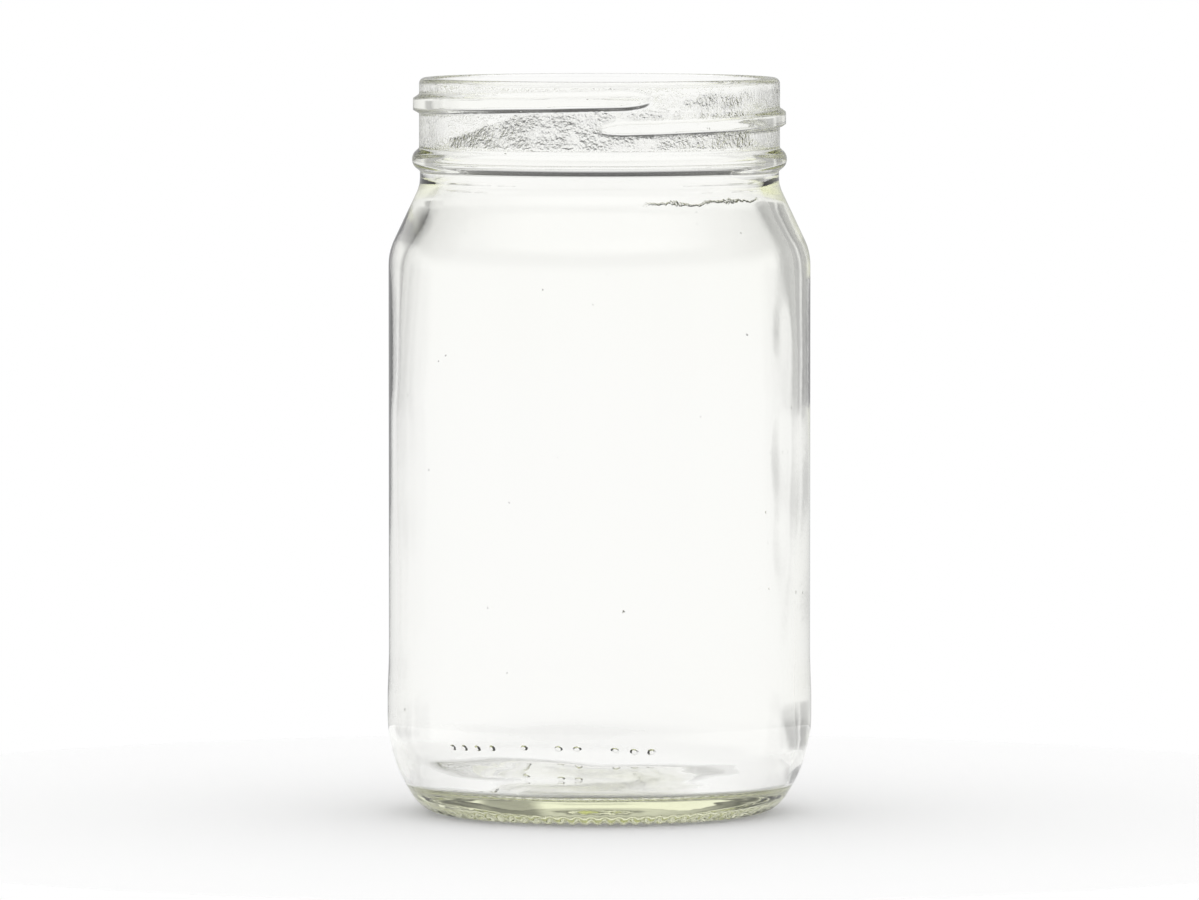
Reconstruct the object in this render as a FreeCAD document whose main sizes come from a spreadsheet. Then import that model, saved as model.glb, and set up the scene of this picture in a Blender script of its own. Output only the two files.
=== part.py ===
"""A round wide-mouth food jar, pressed and blown in clear glass as one piece.

The jar stands on a ribbed foot ring round a pushed-up base. The straight body curves in to a neck with a
locking bead, and above the bead one right-hand turn of thread runs out at both ends below the rim.
Millimetres, +Z up, origin at the middle of the foot ring on the table. The thread starts on the -Y side.
"""
import FreeCAD
import Part
import Sketcher

import math
import os

NODE = "jar"

# Driving sizes. Every height in the finish and the shoulder hangs from the rim, the rest stands on the table.
SIZES = [
    # overall
    ("overall_height", 136.4),
    ("body_diameter", 78.8),
    ("panel_recess", 0.25),
    # heel and foot ring
    ("heel_height", 10.05),
    ("heel_inset", 6.6),
    ("heel_radius", 27.0),
    ("foot_radius", 6.4),
    ("lower_band_top", 22.0),
    ("panel_bottom", 29.0),
    ("panel_blend_radius", 60.0),
    ("foot_ring_width", 5.5),
    ("foot_inner_radius", 1.0),
    # pushed-up base
    ("push_up_ramp", 2.3),
    ("push_up_ramp_radius", 3.0),
    ("push_up_height", 3.4),
    ("dome_flat_diameter", 24.0),
    ("dome_radius", 60.0),
    # ribs under the foot ring
    ("rib_count", 82),
    ("rib_groove_depth", 0.25),
    ("rib_groove_radius", 0.8),
    ("rib_groove_overrun", 1.2),
    # shoulder and neck
    ("neck_diameter", 66.6),
    ("finish_height", 19.9),
    ("shoulder_rise", 12.4),
    ("shoulder_radius", 11.0),
    ("neck_radius", 6.0),
    # locking bead
    ("finish_diameter", 66.94),
    ("bead_diameter", 69.5),
    ("bead_drop", 15.15),
    ("bead_root_width", 4.3),
    ("bead_crest_width", 2.0),
    ("bead_crest_radius", 1.9),
    ("bead_root_radius", 0.5),
    # rim
    ("bore_diameter", 62.4),
    ("rim_outer_radius", 1.1),
    ("rim_inner_radius", 0.8),
    # inner face of the neck and shoulder
    ("bore_bottom_rise", 5.5),
    ("bore_bottom_radius", 20.0),
    ("throat_diameter", 61.4),
    ("throat_drop", 2.7),
    ("throat_radius", 10.0),
    ("shoulder_wall", 3.25),
    ("shoulder_inner_drop", 0.7),
    ("shoulder_inner_radius", 10.0),
    ("wall_taper_drop", 28.1),
    ("wall_taper_radius", 120.0),
    # inner face of the body and floor
    ("wall", 2.1),
    ("inner_heel_height", 13.5),
    ("inner_heel_radius", 16.0),
    ("floor_edge_inset", 2.65),
    ("floor_edge_height", 5.0),
    ("floor_edge_radius", 1.8),
    ("floor_height", 7.3),
    # thread
    ("thread_diameter", 69.2),
    ("thread_pitch", 5.08),
    ("thread_turn", 377.0),
    ("thread_start_angle", -91.0),
    ("thread_start_drop", 8.9),
    ("thread_root_width", 3.15),
    ("thread_crest_width", 1.3),
    ("thread_root_depth", 0.6),
    ("thread_runout", 16.0),
    ("thread_crest_round", 0.35),
    # raised dots of the mould's position code, low on the +Y side
    ("dot_radius", 0.75),
    ("dot_proud", 0.32),
    ("dot_height", 9.6),
    ("dot_first_angle", 74.0),
    ("dot_last_angle", 140.0),
    ("dot_steps", 12),
]
DOTS_LEFT_OUT = (3, 6, 8)

doc = FreeCAD.newDocument("GlassJar")

sheet = doc.addObject("Spreadsheet::Sheet", "Sizes")
for row, (alias, number) in enumerate(SIZES, start=1):
    sheet.set(f"A{row}", alias)
    sheet.set(f"B{row}", str(number))
    sheet.setAlias(f"B{row}", alias)
doc.recompute()


class Size:
    """A length taken from the sheet, with the expression that ties a constraint to it."""

    def __init__(self, value, text):
        self.value = float(value)
        self.text = text

    def combined(self, other, sign, value):
        text = other.text if isinstance(other, Size) else str(other)
        return Size(value, f"({self.text} {sign} {text})")

    def __add__(self, other):
        return self.combined(other, "+", self.value + number_of(other))

    def __sub__(self, other):
        return self.combined(other, "-", self.value - number_of(other))

    def __truediv__(self, other):
        return self.combined(other, "/", self.value / number_of(other))


def number_of(item):
    return item.value if isinstance(item, Size) else float(item)


def size(alias):
    return Size(sheet.get(alias), f"Sizes.{alias}")


def value(alias):
    return float(sheet.get(alias))


# ---------------------------------------------------------------- outline of the glass

ZERO = Size(0.0, "0")
rim_height = size("overall_height")
neck_base = rim_height - size("finish_height")
shoulder_base = neck_base - size("shoulder_rise")
bead_middle = rim_height - size("bead_drop")

lower_band = size("body_diameter") / 2
panel = lower_band - size("panel_recess")
neck = size("neck_diameter") / 2
finish = size("finish_diameter") / 2
bead = size("bead_diameter") / 2
bore = size("bore_diameter") / 2
throat = size("throat_diameter") / 2
inner_wall = panel - size("wall")
foot_outside = lower_band - size("heel_inset")
foot_inside = foot_outside - size("foot_ring_width")
dome_flat = size("dome_flat_diameter") / 2

# Sharp corners (radius, height, rounding) from the middle of the underside, out and up the outside, over the
# rim, and down the inside to the middle of the floor.
CORNERS = [
    (ZERO, size("push_up_height"), None),
    (dome_flat, size("push_up_height"), size("dome_radius")),
    (foot_inside - size("push_up_ramp"), size("push_up_ramp"), size("push_up_ramp_radius")),
    (foot_inside, ZERO, size("foot_inner_radius")),
    (foot_outside, ZERO, size("foot_radius")),
    (lower_band, size("heel_height"), size("heel_radius")),
    (lower_band, size("lower_band_top"), size("panel_blend_radius")),
    (panel, size("panel_bottom"), size("panel_blend_radius")),
    (panel, shoulder_base, size("shoulder_radius")),
    (neck, neck_base, size("neck_radius")),
    (neck, bead_middle - size("bead_root_width") / 2, size("bead_root_radius")),
    (bead, bead_middle - size("bead_crest_width") / 2, size("bead_crest_radius")),
    (bead, bead_middle + size("bead_crest_width") / 2, size("bead_crest_radius")),
    (finish, bead_middle + size("bead_root_width") / 2, size("bead_root_radius")),
    (finish, rim_height, size("rim_outer_radius")),
    (bore, rim_height, size("rim_inner_radius")),
    (bore, neck_base + size("bore_bottom_rise"), size("bore_bottom_radius")),
    (throat, neck_base - size("throat_drop"), size("throat_radius")),
    (panel - size("shoulder_wall"), shoulder_base - size("shoulder_inner_drop"), size("shoulder_inner_radius")),
    (inner_wall, shoulder_base - size("wall_taper_drop"), size("wall_taper_radius")),
    (inner_wall, size("inner_heel_height"), size("inner_heel_radius")),
    (inner_wall - size("floor_edge_inset"), size("floor_edge_height"), size("floor_edge_radius")),
    (dome_flat, size("floor_height"), size("dome_radius")),
    (ZERO, size("floor_height"), None),
]


def plane_of(body, role):
    """One of the body's own origin planes or axes, found by its role."""
    return next(item for item in body.Origin.OriginFeatures if item.Role == role)


def attached_sketch(body, name, role):
    sketch = body.newObject("Sketcher::SketchObject", name)
    sketch.AttachmentSupport = [(plane_of(body, role), "")]
    sketch.MapMode = "FlatFace"
    return sketch


def point(corner):
    return FreeCAD.Vector(corner[0].value, corner[1].value, 0)


def rounded_corner(before, corner, after):
    """Where a corner's arc starts and ends, the arc itself (counter-clockwise), and whether it runs that way."""
    at = point(corner)
    back = (point(before) - at).normalize()
    ahead = (point(after) - at).normalize()
    half = back.getAngle(ahead) / 2
    radius = corner[2].value
    reach = radius / math.tan(half)
    start = at + back * reach
    end = at + ahead * reach
    centre = at + (back + ahead).normalize() * (radius / math.sin(half))
    turns_left = back.cross(ahead).z < 0
    first, last = (start, end) if turns_left else (end, start)
    first_angle = math.atan2(first.y - centre.y, first.x - centre.x)
    last_angle = math.atan2(last.y - centre.y, last.x - centre.x)
    if last_angle < first_angle:
        last_angle += 2 * math.pi
    circle = Part.Circle(centre, FreeCAD.Vector(0, 0, 1), radius)
    return start, end, Part.ArcOfCircle(circle, first_angle, last_angle), turns_left


def add_length(sketch, kind, geometry, vertex, length):
    """Ties one coordinate of a point to the sheet."""
    index = sketch.addConstraint(Sketcher.Constraint(kind, -1, 1, geometry, vertex, length.value))
    sketch.setExpression(f"Constraints[{index}]", length.text)


def add_corner_point(sketch, corner):
    """A construction point at a sharp corner, set by its radius and height."""
    index = sketch.addGeometry(Part.Point(point(corner)), True)
    for kind, axis, length in (("DistanceX", -2, corner[0]), ("DistanceY", -1, corner[1])):
        if length is ZERO:
            sketch.addConstraint(Sketcher.Constraint("PointOnObject", index, 1, axis))
        else:
            add_length(sketch, kind, index, 1, length)
    return index


def add_arc(sketch, arc, turns_left, radius):
    """An arc whose radius comes from the sheet, with its start and end vertices in drawing order."""
    index = sketch.addGeometry(arc, False)
    held = sketch.addConstraint(Sketcher.Constraint("Radius", index, radius.value))
    sketch.setExpression(f"Constraints[{held}]", radius.text)
    return index, (1, 2) if turns_left else (2, 1)


def draw_outline(sketch, corners):
    """Straight edges through the corners with tangent arcs between them, closed by a line on the axis."""
    count = len(corners)
    corner_points = [add_corner_point(sketch, corner) for corner in corners]
    arcs = {i: rounded_corner(corners[i - 1], corners[i], corners[i + 1]) for i in range(1, count - 1)}
    arc_indexes = {i: add_arc(sketch, arcs[i][2], arcs[i][3], corners[i][2]) for i in arcs}
    lines = []
    for i in range(count - 1):
        start = arcs[i][1] if i in arcs else point(corners[i])
        end = arcs[i + 1][0] if i + 1 in arcs else point(corners[i + 1])
        lines.append(sketch.addGeometry(Part.LineSegment(start, end), False))
    for i, line in enumerate(lines):
        for vertex, j in ((1, i), (2, i + 1)):
            if j in arcs:
                sketch.addConstraint(Sketcher.Constraint("PointOnObject", corner_points[j], 1, line))
                arc, (arc_start, arc_end) = arc_indexes[j]
                arc_vertex = arc_end if vertex == 1 else arc_start
                sketch.addConstraint(Sketcher.Constraint("Tangent", line, vertex, arc, arc_vertex))
            else:
                sketch.addConstraint(Sketcher.Constraint("Coincident", line, vertex, corner_points[j], 1))
    axis_line = sketch.addGeometry(Part.LineSegment(point(corners[-1]), point(corners[0])), False)
    sketch.addConstraint(Sketcher.Constraint("Coincident", axis_line, 1, lines[-1], 2))
    sketch.addConstraint(Sketcher.Constraint("Coincident", axis_line, 2, lines[0], 1))


glass = doc.addObject("PartDesign::Body", "Glass")
glass.Label = "glass_body"
outline = attached_sketch(glass, "Outline", "XZ_Plane")
draw_outline(outline, CORNERS)

turned = glass.newObject("PartDesign::Revolution", "Turned")
turned.Profile = outline
turned.ReferenceAxis = (outline, ["V_Axis"])
turned.Angle = 360.0
doc.recompute()


# ---------------------------------------------------------------- ribs under the foot ring

turned_volume = turned.Shape.Volume
groove_start = foot_inside - size("rib_groove_overrun")
groove_length = size("foot_ring_width") + size("rib_groove_overrun")

groove_outline = attached_sketch(glass, "GrooveOutline", "YZ_Plane")
groove_outline.setExpression("AttachmentOffset.Base.z", groove_start.text)
groove_sunk = size("rib_groove_radius") - size("rib_groove_depth")
circle = Part.Circle(FreeCAD.Vector(0, -groove_sunk.value, 0), FreeCAD.Vector(0, 0, 1), value("rib_groove_radius"))
groove_circle = groove_outline.addGeometry(circle, False)
groove_outline.addConstraint(Sketcher.Constraint("PointOnObject", groove_circle, 3, -2))
held = groove_outline.addConstraint(Sketcher.Constraint("Radius", groove_circle, value("rib_groove_radius")))
groove_outline.setExpression(f"Constraints[{held}]", "Sizes.rib_groove_radius")
add_length(groove_outline, "DistanceY", groove_circle, 3, Size(-groove_sunk.value, f"-{groove_sunk.text}"))

groove = glass.newObject("PartDesign::Pocket", "Groove")
groove.Profile = groove_outline
groove.Type = 0
groove.Reversed = True
groove.setExpression("Length", groove_length.text)
doc.recompute()

ribs = glass.newObject("PartDesign::PolarPattern", "Ribs")
ribs.Originals = [groove]
ribs.Axis = (plane_of(glass, "Z_Axis"), [""])
ribs.Angle = 360.0
ribs.setExpression("Occurrences", "Sizes.rib_count")
glass.Tip = ribs
doc.recompute()
if not ribs.Shape.Volume < groove.Shape.Volume < turned_volume:
    raise RuntimeError("the rib grooves cut nothing")


# ---------------------------------------------------------------- thread

THREAD_STEP = 6.0  # degrees of turn between the points that the thread's centre line passes through


def thread_point(turned_angle):
    """A point of the thread's root line: a helix that sinks below the wall at its two run-outs."""
    full_turn = value("thread_turn")
    runout = value("thread_runout")
    from_end = min(turned_angle, full_turn - turned_angle)
    sunk_share = (1 - math.sin(math.radians(90) * min(from_end / runout, 1.0))) ** 2
    thread_depth = (value("thread_diameter") - value("finish_diameter")) / 2
    radius = finish.value - sunk_share * (thread_depth + value("thread_root_depth") / 3)
    angle = math.radians(value("thread_start_angle") + turned_angle)
    start_height = rim_height.value - value("thread_start_drop")
    height = start_height + value("thread_pitch") * turned_angle / 360
    return FreeCAD.Vector(radius * math.cos(angle), radius * math.sin(angle), height)


def thread_section():
    """The thread's cut face at its start: a trapezium with rounded crest corners, rooted in the wall."""
    root = value("thread_root_width") / 2
    crest = value("thread_crest_width") / 2
    depth = (value("thread_diameter") - value("finish_diameter")) / 2
    spread = root + (root - crest) / depth * value("thread_root_depth")
    corners = [
        (-value("thread_root_depth"), -spread),
        (depth, -crest),
        (depth, crest),
        (-value("thread_root_depth"), spread),
    ]
    origin = thread_point(0)
    outward = FreeCAD.Vector(origin.x, origin.y, 0).normalize()
    up = FreeCAD.Vector(0, 0, 1)
    places = [origin + outward * out + up * rise for out, rise in corners]
    sharp = Part.makePolygon(places + places[:1])
    face = Part.Face(sharp)
    along = (thread_point(THREAD_STEP / 10) - origin).normalize()
    block = face.extrude(along)
    crest_edges = [e for e in block.Edges if len(e.Vertexes) == 2 and is_crest_edge(e, origin, outward, depth, along)]
    rounded = block.makeFillet(value("thread_crest_round"), crest_edges)
    start_face = min(rounded.Faces, key=lambda f: abs((f.CenterOfMass - face.CenterOfMass).dot(along)))
    return start_face.OuterWire


def is_crest_edge(edge, origin, outward, depth, along):
    """True for the two long edges of the extruded thread section at its crest."""
    ends = [vertex.Point for vertex in edge.Vertexes]
    runs_along = (ends[1] - ends[0]).cross(along).Length < 1e-6
    return runs_along and abs((ends[0] - origin).dot(outward) - depth) < 1e-6


def thread_solid():
    steps = round(value("thread_turn") / THREAD_STEP)
    places = [thread_point(value("thread_turn") * i / steps) for i in range(steps + 1)]
    line = Part.BSplineCurve()
    line.interpolate(places)
    sweep = Part.BRepOffsetAPI.MakePipeShell(Part.Wire(line.toShape()))
    sweep.setBiNormalMode(FreeCAD.Vector(0, 0, 1))
    sweep.add(thread_section())
    sweep.build()
    sweep.makeSolid()
    return sweep.shape()


thread = doc.addObject("Part::Feature", "Thread")
thread.Label = "thread_turn"
thread.Shape = thread_solid()


# ---------------------------------------------------------------- dots of the mould's position code

def heel_radius_at(height):
    """The outer radius of the heel at a height within its large arc."""
    slope = math.atan(value("heel_inset") / value("heel_height"))
    arc_top = value("heel_height") + value("heel_radius") * math.tan(slope / 2)
    below = arc_top - height
    return lower_band.value - value("heel_radius") + math.sqrt(value("heel_radius") ** 2 - below**2)


dots = []
steps = int(value("dot_steps"))
for i in range(steps + 1):
    if i in DOTS_LEFT_OUT:
        continue
    dot = doc.addObject("Part::Sphere", f"Dot{i}")
    dot.setExpression("Radius", "Sizes.dot_radius")
    spread = value("dot_last_angle") - value("dot_first_angle")
    angle = math.radians(value("dot_first_angle") + spread * i / steps)
    out = heel_radius_at(value("dot_height")) + value("dot_proud") - value("dot_radius")
    dot.Placement.Base = FreeCAD.Vector(out * math.cos(angle), out * math.sin(angle), value("dot_height"))
    dots.append(dot)


# ---------------------------------------------------------------- the jar as one piece of glass

jar = doc.addObject("Part::MultiFuse", "Jar")
jar.Label = NODE
jar.Shapes = [glass, thread] + dots
doc.recompute()

for item in doc.Objects:
    if "Invalid" in item.State or "Error" in item.State:
        raise RuntimeError(f"{item.Label} failed to build: {item.State}")
if jar.Shape.isNull() or not jar.Shape.isValid() or len(jar.Shape.Solids) != 1:
    raise RuntimeError("the jar isn't one valid solid")

os.makedirs("parts", exist_ok=True)
jar.Shape.Solids[0].exportStep(f"parts/{NODE}.step")
box = jar.Shape.BoundBox
print(f"{NODE}: {jar.Shape.Volume / 1000:.2f} cm3, {box.XLength:.2f} x {box.YLength:.2f} x {box.ZLength:.2f} mm,",
      f"{len(jar.Shape.Faces)} faces, z from {box.ZMin:.3f}")
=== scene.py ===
import math

import bpy
import numpy as np
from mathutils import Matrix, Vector, noise


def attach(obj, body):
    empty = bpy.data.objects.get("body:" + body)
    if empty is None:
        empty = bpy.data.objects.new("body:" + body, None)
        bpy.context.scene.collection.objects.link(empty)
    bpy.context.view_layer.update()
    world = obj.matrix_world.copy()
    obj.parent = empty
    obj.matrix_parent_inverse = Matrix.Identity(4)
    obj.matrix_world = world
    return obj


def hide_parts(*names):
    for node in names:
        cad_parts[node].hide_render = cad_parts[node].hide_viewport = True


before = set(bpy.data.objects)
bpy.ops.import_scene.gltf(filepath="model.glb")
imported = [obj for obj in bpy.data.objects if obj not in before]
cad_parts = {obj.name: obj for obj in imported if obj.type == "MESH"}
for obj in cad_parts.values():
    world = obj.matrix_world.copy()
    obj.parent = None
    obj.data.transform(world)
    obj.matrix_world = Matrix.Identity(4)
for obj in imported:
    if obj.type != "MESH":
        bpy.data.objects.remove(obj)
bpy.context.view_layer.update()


# ---------------------------------------------------------------- wall of the jar
# One skin of soda-lime glass, pressed to a parison and blown in a two-part iron mould. The outside takes the
# mould's shape; the inside is free glass, so the wall is thicker at the heel, the shoulder and on one side.
# Sizes are in millimetres from here to the mould marks.

MM = 0.001
SEGMENTS = 328  # steps round the jar: four for each rib of the foot ring

# Sharp corners of the cut wall: radius, height, rounding, longest step on the straight before, and round it.
WALL_OUTSIDE = [
    (0.0, 3.4, 0.0, 0.0, 0.0),
    (12.0, 3.4, 60.0, 4.0, 2.2),
    (24.5, 2.3, 1.4, 0.9, 0.3),
    (27.3, 0.0, 0.7, 0.5, 0.2),
    (32.8, 0.0, 6.4, 0.55, 0.8),
    (39.4, 10.05, 27.0, 0.5, 0.62),
    (39.4, 22.0, 60.0, 2.5, 1.3),
    (39.15, 29.0, 60.0, 1.0, 1.3),
    (39.15, 104.1, 11.0, 6.0, 0.7),
    (33.3, 116.5, 6.0, 1.3, 0.45),
    (33.3, 119.1, 0.5, 0.4, 0.12),
    (34.75, 120.25, 1.9, 0.4, 0.22),
    (34.75, 122.25, 1.9, 0.5, 0.22),
    (33.47, 123.4, 0.5, 0.4, 0.12),
    (33.47, 136.4, 1.1, 0.33, 0.22),
    (31.2, 136.4, 0.8, 0.4, 0.2),
]
WALL_INSIDE = [
    (31.2, 136.4, 0.8, 0.4, 0.2),
    (31.2, 122.0, 20.0, 1.2, 1.0),
    (30.7, 113.8, 10.0, 1.2, 0.7),
    (35.9, 103.4, 10.0, 1.4, 0.8),
    (37.05, 76.0, 120.0, 3.0, 2.5),
    (37.05, 13.5, 16.0, 4.0, 0.9),
    (34.4, 5.0, 1.8, 0.8, 0.27),
    (12.0, 7.3, 60.0, 1.7, 2.5),
    (0.0, 7.3, 0.0, 3.5, 0.0),
]
JOIN = (31.2, 135.6)  # radius and height in the bore, just under the rim, where the two runs meet
JOIN_GAP = 0.05


def trace_wall(corners):
    """Points along a run of straights with rounded corners between them."""
    corners = [np.array(c) for c in corners]
    points = [corners[0][:2]]
    for before, corner, after in zip(corners, corners[1:], corners[2:]):
        at = corner[:2]
        rounding, straight_step, round_step = corner[2:]
        back = (before[:2] - at) / np.linalg.norm(before[:2] - at)
        ahead = (after[:2] - at) / np.linalg.norm(after[:2] - at)
        half = math.acos(np.clip(back @ ahead, -1, 1)) / 2
        reach = rounding / math.tan(half)
        middle = at + (back + ahead) / np.linalg.norm(back + ahead) * rounding / math.sin(half)
        start = at + back * reach
        end = at + ahead * reach
        points += straight(points[-1], start, straight_step)
        sweep = math.pi - 2 * half
        steps = max(2, math.ceil(sweep * rounding / round_step))
        first = start - middle
        last = end - middle
        turn = math.copysign(sweep, first[0] * last[1] - first[1] * last[0])
        for i in range(1, steps + 1):
            c = math.cos(turn * i / steps)
            s = math.sin(turn * i / steps)
            points.append(middle + np.array([c * first[0] - s * first[1], s * first[0] + c * first[1]]))
    points += straight(points[-1], corners[-1][:2], corners[-1][3])
    return points


def straight(start, end, step):
    """Points after start up to end, no more than a step apart."""
    length = np.linalg.norm(end - start)
    if length < 1e-6:
        return []
    count = max(1, math.ceil(length / step))
    return [start + (end - start) * i / count for i in range(1, count + 1)]


def nearest_to_join(points):
    """The number of the point nearest to the join of the two runs."""
    return int(np.argmin([abs(p[0] - JOIN[0]) + abs(p[1] - JOIN[1]) for p in points]))


outside = trace_wall(WALL_OUTSIDE + [WALL_INSIDE[1]])
outside = outside[: nearest_to_join(outside) + 1]
inside = trace_wall(WALL_INSIDE)
inside = inside[nearest_to_join(inside) + 1:]
inside = [p for p in inside if p[1] < JOIN[1] - JOIN_GAP]
wall = np.array(outside + inside)
is_inside = np.arange(len(wall)) >= len(outside)

along = np.gradient(wall, axis=0)
along /= np.linalg.norm(along, axis=1)[:, None]
normal = np.stack([along[:, 1], -along[:, 0]], axis=1)

angle = np.arange(SEGMENTS) * 2 * np.pi / SEGMENTS
ring_r = wall[:, :1]
ring_z = wall[:, 1:]
raised = np.zeros((len(wall), SEGMENTS))  # how far the surface stands out along its normal
outer = ~is_inside[:, None]
inner = is_inside[:, None]


def smooth(x):
    """An easy step from 0 to 1."""
    x = np.clip(x, 0, 1)
    return x * x * (3 - 2 * x)


def bump(distance, half_width):
    """1 in the middle, falling smoothly to 0 at half_width."""
    return smooth(1 - np.abs(distance) / half_width)


def grained(rows, grain, seed):
    """Smooth noise over the chosen rings of the wall, from about -1 to 1, with lumps of one grain."""
    field = np.zeros((len(wall), SEGMENTS))
    cosine = np.cos(angle)
    sine = np.sin(angle)
    for ring in np.where(rows)[0]:
        r, z = wall[ring] / grain
        field[ring] = [noise.noise(Vector((r * c + seed, r * s, z))) for c, s in zip(cosine, sine)]
    return field


def facing(degrees):
    """Degrees from a compass of degrees (0 is +X, 90 is +Y) to each step round the jar, the short way."""
    return (np.degrees(angle) - degrees + 180) % 360 - 180


# Blown glass settles unevenly. Waves of the wall: how thick, how many in a turn, where they start, and how
# many radians they twist for each millimetre up. The first is the thick side, at +X.
WALL_WAVES = [
    (0.32, 1, 0.0, 0.0),
    (0.08, 2, 0.7, 1 / 45),
    (0.04, 5, 1.9, -1 / 24),
    (0.02, 9, -0.4, 1 / 17),
]
# Thicker runs down the +X side, where the gob touched the mould first: compass, height, half width in
# degrees, half height and thickness.
THICK_RUNS = [
    (-29, 67, 7, 12, 0.15),
    (-28, 89, 7, 9, 0.12),
    (-29, 51, 7, 9, 0.14),
    (24, 60, 6, 22, 0.12),
]
LUMP = 14.0
LUMP_THICKNESS = 0.10

body_share = inner * smooth((ring_z - 6.5) / 14) * smooth((114 - ring_z) / 12)  # none at floor and throat
for thick, count, start, twist in WALL_WAVES:
    raised += body_share * thick * np.cos(count * angle + start + twist * ring_z)
raised += body_share * LUMP_THICKNESS * grained(is_inside & (wall[:, 1] > 6), LUMP, 5.0)
for turned, middle, half_width, half_height, thick in THICK_RUNS:
    away = np.hypot(facing(turned) / half_width, (ring_z - middle) / half_height)
    raised += body_share * thick * smooth(1 - away)

# The floor sets last, in shallow dents.
FLOOR_DENT = 0.02
floor = is_inside & (wall[:, 1] < 14)
raised += floor[:, None] * smooth(ring_r / 12) * FLOOR_DENT * grained(floor, 9.0, 21.0)

# Long ripples run round the inner heel, where the glass was dragged down as it was blown.
RIPPLE_HEIGHT = 0.08
RIPPLE_SPACING = 1.7
RIPPLES_ROUND = 2.6  # the larger, the shorter each ripple is
arc = np.concatenate([[0], np.cumsum(np.linalg.norm(np.diff(wall, axis=0), axis=1))])
round_heel = RIPPLES_ROUND * np.stack([np.cos(angle), np.sin(angle)], axis=1)
for ring in np.where(floor & (wall[:, 0] > 20))[0]:
    row = [noise.noise(Vector((x, y, arc[ring] / RIPPLE_SPACING))) for x, y in round_heel]
    raised[ring] += RIPPLE_HEIGHT * smooth((wall[ring, 0] - 22) / 8) * np.array(row)

# A crease inside the throat, where the gob was pinched as the neck formed.
CREASE_FACING = 308
CREASE_DEPTH = 0.05
throat = is_inside & (wall[:, 1] > 108) & (wall[:, 1] < 118)
pinched = throat[:, None] * smooth((26 - np.abs(facing(CREASE_FACING))) / 9)
raised -= CREASE_DEPTH * pinched * bump(ring_z - 113.4, 1.6)


# ---------------------------------------------------------------- thread
# One turn of right-hand thread, moulded with the neck ring. It starts in a blunt nose at the front, climbs
# round the back and ends in a second nose above the first, and a screw lid's thread runs under it.

THREAD_PITCH = 5.08
THREAD_HEIGHT = 1.13
THREAD_ROOT = 3.15
THREAD_CREST = 1.8
THREAD_LEAN = 1.35  # how much gentler the upper flank is than the lower
THREAD_TURN = 377.0
THREAD_START = math.radians(-91.0)
THREAD_START_HEIGHT = 127.5
THREAD_RADIUS = 34.0
NOSE_LENGTH = 5.5  # along the thread, over which each end narrows to nothing
NECK_RADIUS = 33.3

on_neck = outer & (ring_r > NECK_RADIUS) & (ring_z > 123.9) & (ring_z < 135.4)
for turn in (0, 1):
    turned = np.degrees((angle - THREAD_START) % (2 * np.pi)) + 360 * turn
    centre = THREAD_START_HEIGHT + THREAD_PITCH * turned / 360
    from_end = np.minimum(turned, THREAD_TURN - turned) / 360 * 2 * np.pi * THREAD_RADIUS
    nose = np.sqrt(np.clip(1 - (1 - np.clip(from_end / NOSE_LENGTH, 0, 1)) ** 2, 0, 1))
    half_root = THREAD_ROOT / 2 * nose + 1e-6
    half_crest = THREAD_CREST / 2 * nose
    off = ring_z - centre[None, :]
    off = np.where(off > 0, off / THREAD_LEAN, -off)
    flank = smooth((half_root - off) / np.maximum(half_root - half_crest, 1e-6) * 0.94 + 0.03)
    thread = THREAD_HEIGHT * flank * smooth(nose * 1.4) * (from_end > 0)
    raised = np.maximum(raised, np.where(on_neck, thread, raised))


# ---------------------------------------------------------------- chill wrinkles on the neck
# Where the gob first met the cold neck ring, its skin froze in a coarse orange peel. It fills the front
# between the threads, and thins to patches above the lower turn and round the back.

FRONT = 272
WRINKLE_HEIGHT = 0.09
WRINKLE_GRAIN = 1.25
LEAST_WRINKLED = 0.04  # share of the wrinkles on the smooth parts of the neck

finish_wall = ~is_inside & (wall[:, 0] > NECK_RADIUS) & (wall[:, 1] > 123.5) & (wall[:, 1] < 135.2)
clear_of_thread = 1 - smooth(raised / (0.7 * THREAD_HEIGHT))
front_top = 126.2 + 4.8 * smooth(facing(214) / 36)
front_patch = smooth((front_top - ring_z) / 1.2) * smooth((ring_z - 123.9) / 0.5)
front_patch = front_patch * smooth((facing(FRONT) + 60) / 6) * smooth((60 - facing(FRONT)) / 14)
upper_patch = 0.8 * bump(ring_z - 132.6, 2.6) * bump(facing(309), 24)
behind_front = smooth((np.abs(facing(270)) - 80) / 20)
round_patches = 0.35 * smooth(grained(finish_wall, 5.5, 40.0) * 2.4 - 0.3) * behind_front
ragged = 0.28 * grained(finish_wall, 1.9, 11.0)
patches = np.maximum(np.maximum(front_patch, upper_patch), round_patches)
frozen_share = np.maximum(smooth(1.3 * np.clip(patches + ragged, 0, 1)), LEAST_WRINKLED)
patchy = np.clip(0.75 + 1.1 * grained(finish_wall, 2.6, 71.0), 0.25, 1.3)
dense = patchy + 1.1 * smooth((ring_z - 124.5) / 1.5) * bump(facing(223), 16)
chill = finish_wall[:, None] * clear_of_thread * frozen_share * dense
raised += WRINKLE_HEIGHT * chill * grained(finish_wall, WRINKLE_GRAIN, 3.0)


# ---------------------------------------------------------------- foot ring ribs
# Radial ribs moulded under the foot ring, 2.3 mm apart, so that the hot jar touches the belt with little
# glass. The glass doesn't fill the mould's grooves sharply, so they are smooth waves.

RIBS = 82
RIB_DEPTH = 0.35

rib = smooth(0.5 + np.cos(RIBS * angle + math.pi / 4))
foot = outer * smooth((ring_r - 26.0) / 0.6) * smooth((34.0 - ring_r) / 1.6) * (ring_z < 3.0)
raised -= foot * RIB_DEPTH * rib


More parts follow.
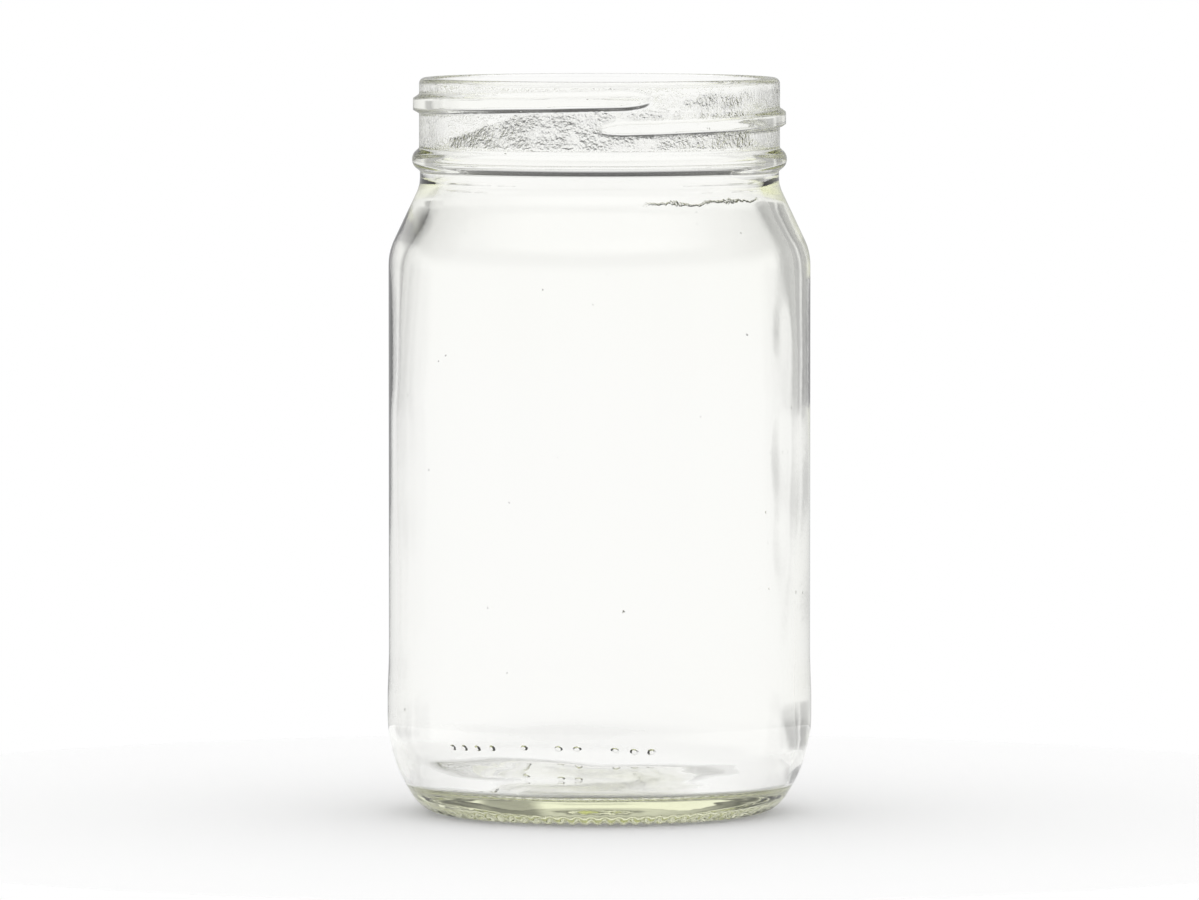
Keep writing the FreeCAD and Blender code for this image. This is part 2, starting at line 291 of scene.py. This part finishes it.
# ---------------------------------------------------------------- mould marks
# The neck ring leaves two hair-thin steps below the bead. The bottom plate leaves a baffle ring set off
# centre and a faintly dented underside, and the body mould a row of plain dots low on the back.

SEAM_HEIGHTS = (117.35, 116.05)
SEAM_STEP = 0.03
below_bead = outer * (ring_r < 36) * (ring_z > 114) * (ring_z < 118.8)
for seam_height in SEAM_HEIGHTS:
    raised += below_bead * SEAM_STEP * bump(ring_z - seam_height, 0.4)
seam_rows = ~is_inside & (wall[:, 1] > 114) & (wall[:, 1] < 118.8)
seam = below_bead * smooth((np.abs(facing(270)) - 22) / 14) * smooth((62 - np.abs(facing(270))) / 6)
seam = seam * np.clip(0.75 + 0.8 * grained(seam_rows, 3.0, 60.0), 0, 1)

BAFFLE_RADIUS = 21.6
BAFFLE_CENTRE = (1.8, -0.6)
BAFFLE_HEIGHT = 0.4
UNDERSIDE_DENT = 0.015
from_baffle = np.hypot(ring_r * np.cos(angle) - BAFFLE_CENTRE[0], ring_r * np.sin(angle) - BAFFLE_CENTRE[1])
raised += outer * (ring_z < 3.4) * (ring_r < 24) * BAFFLE_HEIGHT * bump(from_baffle - BAFFLE_RADIUS, 0.9)
underside = ~is_inside & (wall[:, 1] < 3.45) & (wall[:, 0] < 27)
raised += underside[:, None] * smooth(ring_r / 10) * UNDERSIDE_DENT * grained(underside, 5.0, 17.0)

DOT_HEIGHT = 9.6
DOT_STEP = 5.5  # degrees from one place to the next
FIRST_DOT = 74.0
DOT_PLACES = (0, 1, 2, 4, 5, 7, 9, 10, 11, 12)
DOT_RADIUS = 1.5
DOT_RISE = 0.2
DOT_MASK = 1.4
low_back = outer * (ring_r > 35) * (ring_z < 20)
near_dot = np.zeros_like(raised)
for place in DOT_PLACES:
    across = np.radians(facing(FIRST_DOT + DOT_STEP * place)) * ring_r
    from_dot = np.hypot(across, ring_z - DOT_HEIGHT)
    near_dot += bump(from_dot - DOT_MASK, 1.2) + (from_dot < DOT_MASK)
    raised += low_back * DOT_RISE * bump(from_dot, DOT_RADIUS)
near_dot = np.clip(low_back * near_dot, 0, 1)


# ---------------------------------------------------------------- the glass as one mesh
# The jar is one closed skin of glass: rings of points from the middle of the underside, up the outside, over
# the rim and down to the middle of the floor inside. Masks tell its finish where the small marks lie.

radius = ring_r + normal[:, :1] * raised
height = ring_z + normal[:, 1:] * raised
rings = np.stack([radius * np.cos(angle), radius * np.sin(angle), height + 0 * angle], axis=2) * MM
between_poles = slice(1, len(wall) - 1)
vertices = [(0.0, 0.0, rings[0, 0, 2])]
vertices += [tuple(p) for p in rings[between_poles].reshape(-1, 3)]
vertices += [(0.0, 0.0, rings[-1, 0, 2])]

faces = []
last_ring = 1 + (len(wall) - 3) * SEGMENTS
for j in range(SEGMENTS):
    k = (j + 1) % SEGMENTS
    faces.append((0, 1 + k, 1 + j))
    for low in range(1, last_ring, SEGMENTS):
        high = low + SEGMENTS
        faces.append((low + j, low + k, high + k, high + j))
    faces.append((last_ring + j, last_ring + k, len(vertices) - 1))

mesh = bpy.data.meshes.new("jar_glass")
mesh.from_pydata(vertices, [], faces)
mesh.validate()
mesh.shade_smooth()
for name, share in (("chill", chill), ("near_dot", near_dot), ("pinched", pinched), ("seam", seam)):
    mask = mesh.attributes.new(name, "FLOAT", "POINT")
    values = np.concatenate([[0.0], share[between_poles].ravel(), [0.0]])
    mask.data.foreach_set("value", values.astype(np.float32))
jar = bpy.data.objects.new("jar_glass", mesh)
bpy.context.scene.collection.objects.link(jar)


def linear(hex_colour):
    """An sRGB hex colour as linear red, green, blue and alpha."""
    channels = [int(hex_colour[i:i + 2], 16) / 255 for i in (1, 3, 5)]
    return [c / 12.92 if c <= 0.04045 else ((c + 0.055) / 1.055) ** 2.4 for c in channels] + [1.0]


def add_node(tree, kind, inputs=None, **settings):
    """Adds a node, sets it up, and fills its inputs with values, sockets or the first outputs of nodes."""
    node = tree.nodes.new(kind)
    for name, setting in settings.items():
        setattr(node, name, setting)
    for name, given in (inputs or {}).items():
        if isinstance(given, bpy.types.Node):
            given = given.outputs[0]
        if isinstance(given, bpy.types.NodeSocket):
            tree.links.new(given, node.inputs[name])
        else:
            node.inputs[name].default_value = given
    return node


# Flint soda-lime glass, fire-polished by the mould's heat, with a refractive index of 1.52. It has so little
# iron that only the thick base shows green. Its skin carries the marks too small for the mesh.
GLASS_INDEX = 1.52
GLASS_DENSITY = 8.0  # how strongly the tint builds up, for each metre of glass
glass = bpy.data.materials.new("flint soda-lime glass, mould-blown")
glass.use_nodes = True
tree = glass.node_tree
tree.nodes.clear()
place = add_node(tree, "ShaderNodeTexCoord").outputs["Object"]
at = add_node(tree, "ShaderNodeSeparateXYZ", {0: place}).outputs

# Three grains of noise: the faint orange peel of any blown surface, the finest creases of the chill wrinkles,
# and how the line of the crease wanders. Grain in millimetres, detail and roughness.
grains = []
for grain, detail, roughness in ((2.2, 3.0, 0.6), (0.7, 2.0, 0.55), (3.2, 4.0, 0.65)):
    settings = {"Vector": place, "Scale": 1 / (grain * MM), "Detail": detail, "Roughness": roughness}
    grains.append(add_node(tree, "ShaderNodeTexNoise", settings))
peel, fine, wandering = grains
wrinkle = add_node(tree, "ShaderNodeMath", {0: fine, 1: 0.5}, operation="SUBTRACT")

# A steep little dome on each dot. The turn round the jar is counted in dot steps, and the fraction left over
# is the place across a dot.
HEEL_RADIUS = 38.6
dot_spacing = math.radians(DOT_STEP) * HEEL_RADIUS * MM
steps_per_radian = 180 / math.pi / DOT_STEP
first_step = 0.5 - FIRST_DOT / DOT_STEP
turned = add_node(tree, "ShaderNodeMath", {0: at["Y"], 1: at["X"]}, operation="ARCTAN2")
counting = {0: turned, 1: steps_per_radian, 2: first_step}
counted = add_node(tree, "ShaderNodeMath", counting, operation="MULTIPLY_ADD")
fraction = add_node(tree, "ShaderNodeMath", {0: counted}, operation="FRACT")
spread = {0: fraction, 1: dot_spacing, 2: -dot_spacing / 2}
across = add_node(tree, "ShaderNodeMath", spread, operation="MULTIPLY_ADD")
upward = add_node(tree, "ShaderNodeMath", {0: at["Z"], 1: DOT_HEIGHT * MM}, operation="SUBTRACT")
offset = add_node(tree, "ShaderNodeCombineXYZ", {"X": across, "Y": upward})
from_dot = add_node(tree, "ShaderNodeVectorMath", {0: offset}, operation="LENGTH").outputs["Value"]

# How far a point is above or below the crease, which wanders up and down the throat.
CREASE_HEIGHT = 111.8
CREASE_WANDER = 3.2
drawn = {0: wandering, 1: CREASE_WANDER * MM, 2: CREASE_HEIGHT * MM}
crease_height = add_node(tree, "ShaderNodeMath", drawn, operation="MULTIPLY_ADD")
above_crease = add_node(tree, "ShaderNodeMath", {0: at["Z"], 1: crease_height}, operation="SUBTRACT")
from_crease = add_node(tree, "ShaderNodeMath", {0: above_crease}, operation="ABSOLUTE")

# How far it is from the nearer of the two seams of the neck ring.
seam_middle = sum(SEAM_HEIGHTS) / 2 * MM
seam_reach = (SEAM_HEIGHTS[0] - SEAM_HEIGHTS[1]) / 2 * MM
above_middle = add_node(tree, "ShaderNodeMath", {0: at["Z"], 1: seam_middle}, operation="SUBTRACT")
from_middle = add_node(tree, "ShaderNodeMath", {0: above_middle}, operation="ABSOLUTE")
past_seam = add_node(tree, "ShaderNodeMath", {0: from_middle, 1: seam_reach}, operation="SUBTRACT")
from_seam = add_node(tree, "ShaderNodeMath", {0: past_seam}, operation="ABSOLUTE")

# Seeds, the pinhead bubbles left in any furnace glass, are small dimples in cells 9 mm wide.
SEED_SPACING = 9.0
cells = {"Vector": place, "Scale": 1 / (SEED_SPACING * MM)}
from_seed = add_node(tree, "ShaderNodeTexVoronoi", cells, feature="F1")

# Each mark's outline: what it is measured by, and where it begins and is whole. A real seam is a tenth of a
# millimetre wide, too fine to show, so it is drawn 0.4 mm wide.
outlines = []
for measure, begins, whole in (
    (from_dot, 0.95 * MM, 0.35 * MM),
    (from_crease, 0.3 * MM, 0.0),
    (from_seam, 0.2 * MM, 0.0),
    (from_seed, 0.032, 0.01),
):
    limits = {"Value": measure, "From Min": begins, "From Max": whole}
    outlines.append(add_node(tree, "ShaderNodeMapRange", limits, interpolation_type="SMOOTHSTEP"))
dome, crease, parting, seed = outlines

# The marks lie one over another on the skin: relief, the mask it keeps to, and its depth.
skin = add_node(tree, "ShaderNodeBump", {"Strength": 0.25, "Distance": 0.02 * MM, "Height": peel})
for relief, mask_name, mark_depth in (
    (wrinkle, "chill", 1.7),
    (dome, "near_dot", 0.5),
    (crease, "pinched", 0.45),
    (parting, "seam", 0.12),
    (seed, None, 0.12),
):
    if mask_name:
        share = add_node(tree, "ShaderNodeAttribute", attribute_name=mask_name).outputs["Fac"]
        relief = add_node(tree, "ShaderNodeMath", {0: relief, 1: share}, operation="MULTIPLY")
    mark = {"Strength": 1.0, "Distance": mark_depth * MM, "Height": relief, "Normal": skin}
    skin = add_node(tree, "ShaderNodeBump", mark)

shader = add_node(tree, "ShaderNodeBsdfPrincipled", {
    "Base Color": linear("#FFFFFF"),
    "Roughness": 0.0,
    "IOR": GLASS_INDEX,
    "Transmission Weight": 1.0,
    "Normal": skin,
})
depth = add_node(tree, "ShaderNodeVolumeAbsorption", {"Color": linear("#E9ED89"), "Density": GLASS_DENSITY})
add_node(tree, "ShaderNodeOutputMaterial", {"Surface": shader, "Volume": depth})
mesh.materials.append(glass)

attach(jar, "root")
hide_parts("jar")


# ---------------------------------------------------------------- table
# A round matt white laminate tabletop, 34 cm across, which keeps the jar's soft shadow. It is so pale that
# its far edge is lost against the tent.

TABLE_RADIUS = 0.17
TABLE_SIDES = 96
TABLE_GAP = 0.0002  # between the tabletop and the foot of the jar
table_mesh = bpy.data.meshes.new("tabletop")
compass = np.linspace(0, 2 * np.pi, TABLE_SIDES + 1)[:-1]
edge = [(TABLE_RADIUS * math.cos(a), TABLE_RADIUS * math.sin(a), 0.0) for a in compass]
table_mesh.from_pydata(edge, [], [tuple(range(TABLE_SIDES))])
table = bpy.data.objects.new("tabletop", table_mesh)
table.location.z = -TABLE_GAP
bpy.context.scene.collection.objects.link(table)
matt = bpy.data.materials.new("matt white laminate")
matt.use_nodes = True
tree = matt.node_tree
tree.nodes.clear()
face = add_node(tree, "ShaderNodeBsdfDiffuse", {"Color": linear("#FFFFFF")})
add_node(tree, "ShaderNodeOutputMaterial", {"Surface": face})
table_mesh.materials.append(matt)


# ---------------------------------------------------------------- studio
# A white light tent, plain white to the camera and the table. The glass alone also sees grey cards between
# its panels, a black band round it above eye level and the dim room past it, which draw the jar's edges.

world = bpy.data.worlds.new("light tent")
bpy.context.scene.world = world
world.use_nodes = True
tree = world.node_tree
tree.nodes.clear()
direction = add_node(tree, "ShaderNodeTexCoord").outputs["Generated"]
axes = add_node(tree, "ShaderNodeSeparateXYZ", {0: direction}).outputs
path = add_node(tree, "ShaderNodeLightPath").outputs
through_glass = path["Is Transmission Ray"]
off_glass = path["Is Glossy Ray"]
steep = add_node(tree, "ShaderNodeMath", {0: axes["Z"]}, operation="ABSOLUTE")
bearing = add_node(tree, "ShaderNodeMath", {0: axes["X"], 1: axes["Y"]}, operation="ARCTAN2")
fourfold = add_node(tree, "ShaderNodeMath", {0: bearing, 1: 4.0}, operation="MULTIPLY")
corners = add_node(tree, "ShaderNodeMath", {0: fourfold}, operation="COSINE")  # 1 at the sides, -1 at corners
FLAG_BEARING = math.radians(21)
off_flag = add_node(tree, "ShaderNodeMath", {0: bearing, 1: FLAG_BEARING}, operation="SUBTRACT")
beside_flag = add_node(tree, "ShaderNodeMath", {0: off_flag}, operation="ABSOLUTE")

# The tent's smooth edges: what each is measured by, where it starts and ends, and its level there.
TENT_EDGES = {
    "card": (corners, -0.45, -0.8, 0.0, 0.5),
    "card height": (steep, 0.3, 0.15, 0.0, 1.0),
    "card foot": (axes["Z"], -0.09, -0.02, 0.0, 1.0),
    "flag": (beside_flag, math.radians(10), math.radians(5), 0.0, 0.5),
    "flag foot": (axes["Z"], -0.085, -0.06, 0.0, 0.8),
    "flag body": (axes["Z"], -0.05, 0.02, 0.8, 1.5),
    "skirt": (corners, 0.67, 0.03, 0.0, 0.22),
    "skirt top": (axes["Z"], -0.19, -0.26, 0.0, 1.0),
    "skirt foot": (axes["Z"], -0.7, -0.6, 0.0, 1.0),
    "far side": (axes["Y"], -0.2, 0.2, 0.1, 1.0),
    "room": (steep, 0.65, 0.35, 0.0, 0.5),
}
tent_edge = {}
for name, (measure, start, end, first_level, last_level) in TENT_EDGES.items():
    limits = {"Value": measure, "From Min": start, "From Max": end}
    limits |= {"To Min": first_level, "To Max": last_level}
    tent_edge[name] = add_node(tree, "ShaderNodeMapRange", limits, interpolation_type="SMOOTHSTEP")

# A card stands at each corner. A flag hangs to the right of the far side, and a pale skirt below the table's
# edge, except at the middle of each side. Each is what its edges leave of one another.
hangings = []
for names in (("card height", "card foot", "card"), ("flag foot", "flag body", "flag"),
              ("skirt top", "skirt foot", "skirt")):
    upright, foot_edge, sides = [tent_edge[name] for name in names]
    tall = add_node(tree, "ShaderNodeMath", {0: upright, 1: foot_edge}, operation="MULTIPLY")
    hangings.append(add_node(tree, "ShaderNodeMath", {0: sides, 1: tall}, operation="MULTIPLY"))
card, flag, skirt = hangings
darker = add_node(tree, "ShaderNodeMath", {0: card, 1: flag}, operation="MAXIMUM")
darkest = add_node(tree, "ShaderNodeMath", {0: darker, 1: skirt}, operation="MAXIMUM")

# All of these show only through the glass, and those on the camera's side are weak.
dimmed = add_node(tree, "ShaderNodeMath", {0: darkest, 1: tent_edge["far side"]}, operation="MULTIPLY")
shown = add_node(tree, "ShaderNodeMath", {0: dimmed, 1: through_glass}, operation="MULTIPLY")
left = add_node(tree, "ShaderNodeMath", {0: 1.0, 1: shown}, operation="SUBTRACT")

# The room shows only in reflections. A ray that has passed through the glass counts as glossy too, and is
# taken off.
reflected = add_node(tree, "ShaderNodeMath", {0: off_glass, 1: through_glass}, operation="SUBTRACT")
room = {0: tent_edge["room"], 1: reflected}
mirrored = add_node(tree, "ShaderNodeMath", room, operation="MULTIPLY", use_clamp=True)
lit = add_node(tree, "ShaderNodeMath", {0: 1.0, 1: mirrored}, operation="SUBTRACT")
panels = add_node(tree, "ShaderNodeMath", {0: left, 1: lit}, operation="MULTIPLY")

# How bright the tent is by height, from 0 straight down to 1 straight up. The band is blackest 22 to 35
# degrees up.
BAND = [(0.58, 1.0), (0.61, 0.72), (0.65, 0.45), (0.685, 0.12), (0.79, 0.12), (0.825, 0.6), (0.86, 1.0)]
climb = add_node(tree, "ShaderNodeMapRange", {"Value": axes["Z"], "From Min": -1.0, "From Max": 1.0})
banded = add_node(tree, "ShaderNodeValToRGB", {0: climb})
ramp = banded.color_ramp
for end in (0, 1):
    ramp.elements[end].position = end
    ramp.elements[end].color = linear("#FFFFFF")
for position, shade in BAND:
    stop = ramp.elements.new(position)
    stop.color = (shade, shade, shade, 1)
tent = add_node(tree, "ShaderNodeMath", {0: panels, 1: banded}, operation="MULTIPLY")

# Only a ray that meets the glass sees this pattern, and only before it has met the table.
in_glass = add_node(tree, "ShaderNodeMath", {0: off_glass, 1: through_glass}, operation="MAXIMUM")
off_table = add_node(tree, "ShaderNodeMath", {0: path["Diffuse Depth"], 1: 0.5}, operation="LESS_THAN")
seen = add_node(tree, "ShaderNodeMath", {0: in_glass, 1: off_table}, operation="MULTIPLY")
level = add_node(tree, "ShaderNodeMix", {"Factor": seen, 2: 1.0, 3: tent})
light = add_node(tree, "ShaderNodeBackground", {"Color": level, "Strength": 1.0})
add_node(tree, "ShaderNodeOutputWorld", {"Surface": light})


# ---------------------------------------------------------------- camera
# A long lens two metres off, five centimetres above the rim and looking a little down, so that the rim and
# the foot show as thin ellipses.

camera_data = bpy.data.cameras.new("camera")
camera_data.sensor_width = 36.0
camera_data.lens = 328.6
camera_data.clip_end = 20.0
camera = bpy.data.objects.new("camera", camera_data)
camera.location = (0.0, -2.03, 0.188)
aim = Vector((0.0, 0.0, 0.0672)) - camera.location
camera.rotation_euler = aim.to_track_quat("-Z", "Y").to_euler()
bpy.context.scene.collection.objects.link(camera)
scene = bpy.context.scene
scene.camera = camera
scene.view_settings.view_transform = "Standard"

# Light crosses many surfaces of the hollow glass before it gets out.
scene.cycles.max_bounces = 32
scene.cycles.transmission_bounces = 32
scene.cycles.glossy_bounces = 24
